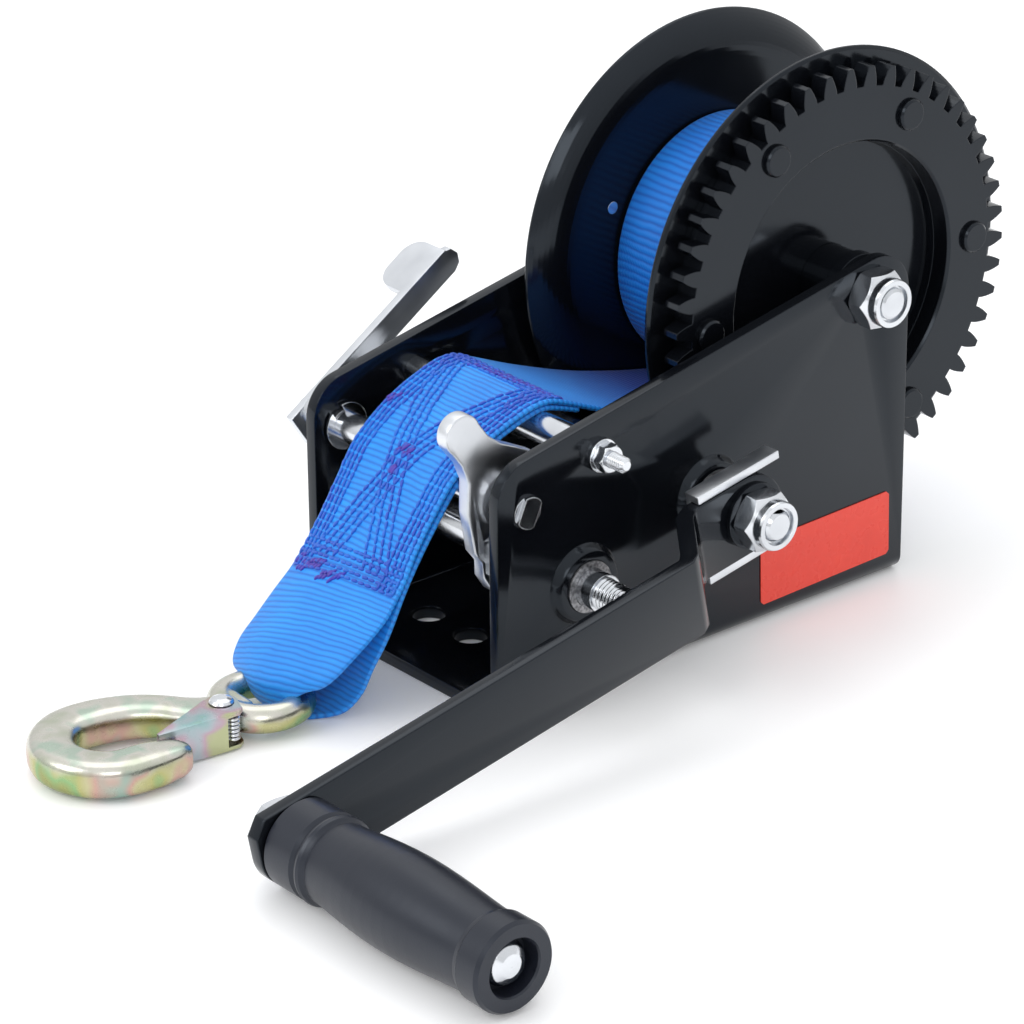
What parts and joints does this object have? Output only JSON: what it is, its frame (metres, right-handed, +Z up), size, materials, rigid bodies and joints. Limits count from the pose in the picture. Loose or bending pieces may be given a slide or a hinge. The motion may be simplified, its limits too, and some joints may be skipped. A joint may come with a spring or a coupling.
{
  "type": "boat trailer winch",
  "caption": "Two-speed hand winch for a boat trailer: folded steel frame, gear train, crank with turning grip, pawl lever, drum of webbing strap and latched snap hook.",
  "frame": {"origin": "centre of the base plate's underside, midway between the six mounting holes", "axes": "+Z up out of the base, +X towards the drum, +Y towards the pawl's thumb lever; the crank is on the -Y side and the strap leaves towards -X"},
  "size_m": [0.3505, 0.2495, 0.1716],
  "materials": {
    "black_paint": "gloss",
    "red_label": "gloss",
    "sintered_steel": "matt",
    "bright_zinc": "bright zinc plate",
    "yellow_zinc": "yellow-passivated zinc plate",
    "blue_webbing": "woven webbing",
    "black_plastic": "satin"
  },
  "bodies": {
    "frame": {"frame": "black_paint", "label": "red_label", "shaft_bushes": "sintered_steel", "drum_bolt": "bright_zinc", "drum_nut": "bright_zinc", "drum_sleeve": "sintered_steel", "drum_spacers": "black_paint", "tie_bolt": "bright_zinc", "tie_tube": "bright_zinc", "tie_nuts": "bright_zinc", "free_strap": "blue_webbing", "pawl_spring": "bright_zinc"},
    "drum": {"drum_hub": "black_paint", "drum_core": "black_paint", "near_flange": "black_paint", "far_flange": "black_paint", "drum_gear": "black_paint", "gear_carrier": "black_paint", "gear_rivets": "black_paint", "strap_coil": "blue_webbing", "strap_anchor_bolt": "bright_zinc"},
    "front_gear_shaft": {"front_shaft": "bright_zinc", "front_pinion": "bright_zinc", "front_shaft_clip": "bright_zinc"},
    "crank": {"crank_shaft": "bright_zinc", "crank_pinion": "bright_zinc", "low_speed_gear": "black_paint", "crank_shaft_clip": "bright_zinc", "crank_spacer": "sintered_steel", "crank_clip": "bright_zinc", "crank_arm": "black_paint", "crank_washer": "black_paint", "crank_nut": "bright_zinc", "grip_bolt": "bright_zinc", "grip_nut": "bright_zinc"},
    "hand_grip": {"grip": "black_plastic"},
    "pawl": {"pawl": "bright_zinc", "pawl_shaft": "bright_zinc", "pawl_shaft_clips": "bright_zinc", "pawl_lever": "bright_zinc"},
    "snap_hook": {"hook": "yellow_zinc", "latch_rivet": "bright_zinc", "latch_spring": "bright_zinc"},
    "hook_latch": {"latch": "yellow_zinc"}
  },
  "joints": [
    {"name": "drum_spin", "type": "hinge", "parent": "frame", "child": "drum", "pos_m": [0.066, 0, 0.098], "axis": [0, 1, 0], "continuous": true},
    {"name": "crank_spin", "type": "hinge", "parent": "frame", "child": "crank", "pos_m": [-0.00002, 0, 0.05004], "axis": [0, 1, 0], "continuous": true},
    {"name": "front_shaft_spin", "type": "hinge", "parent": "frame", "child": "front_gear_shaft", "pos_m": [-0.05027, 0, 0.03591], "axis": [0, 1, 0], "continuous": true},
    {"name": "grip_spin", "type": "hinge", "parent": "crank", "child": "hand_grip", "pos_m": [-0.18815, -0.132, 0.01432], "axis": [0, 1, 0], "continuous": true},
    {"name": "pawl_tilt", "type": "hinge", "parent": "frame", "child": "pawl", "pos_m": [-0.0715, 0, 0.0653], "axis": [0, 1, 0], "range_deg": [-13.3, 13.3]},
    {"name": "hook_swing", "type": "hinge", "parent": "frame", "child": "snap_hook", "pos_m": [-0.123, 0.0015, 0.0065], "axis": [0.0872, 0.9962, 0], "range_deg": [-40, 55]},
    {"name": "latch_hinge", "type": "hinge", "parent": "snap_hook", "child": "hook_latch", "pos_m": [-0.15122, 0.00015, 0.0065], "axis": [0, 0, -1], "range_deg": [0, 28], "stiffness_Nm_per_rad": 0.05, "springref_deg": -22.92}
  ],
  "couplings": [
    {"joint": "crank_spin", "follows": "drum_spin", "ratio": -4.8},
    {"joint": "front_shaft_spin", "follows": "drum_spin", "ratio": 10}
  ]
}
